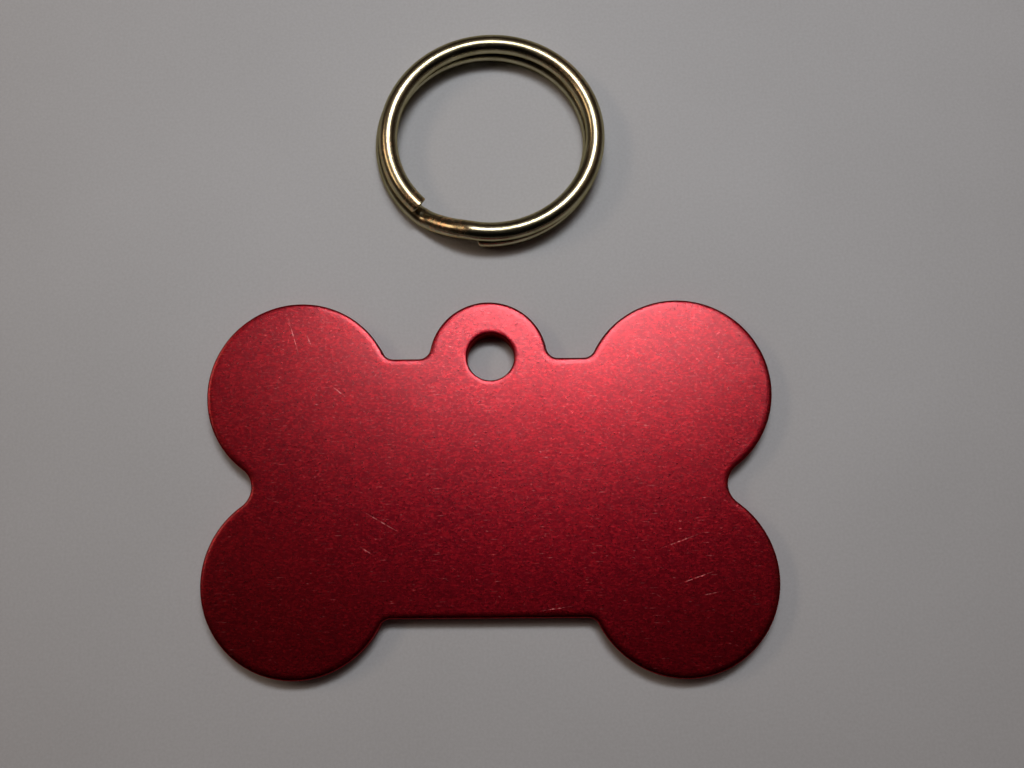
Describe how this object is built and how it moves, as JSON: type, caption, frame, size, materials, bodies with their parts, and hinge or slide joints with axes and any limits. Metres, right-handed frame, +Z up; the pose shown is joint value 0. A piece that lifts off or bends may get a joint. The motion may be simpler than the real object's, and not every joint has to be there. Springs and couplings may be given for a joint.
{
  "type": "pet id tag",
  "caption": "Bone-shaped blank pet identity tag in red anodised aluminium with a tab and a ring hole, beside the wire split ring that hangs it from a collar.",
  "frame": {"origin": "on the axis of the tag's ring hole, level with the tag's back face, which lies on the table", "axes": "+X to the right along the bone, +Y from the bone through its tab towards the ring, +Z up out of the tag's front face"},
  "size_m": [0.0379, 0.0442, 0.003],
  "materials": {
    "anodised_red": "satin red anodised",
    "nickel_wire": "bright nickel plate"
  },
  "bodies": {
    "tag": {"bone_tag": "anodised_red"},
    "ring": {"split_ring": "nickel_wire"}
  },
  "joints": [
    {"name": "ring_lift", "type": "slide", "parent": "tag", "child": "ring", "axis": [0, 0, 1], "range_m": [0, 0.02]}
  ]
}
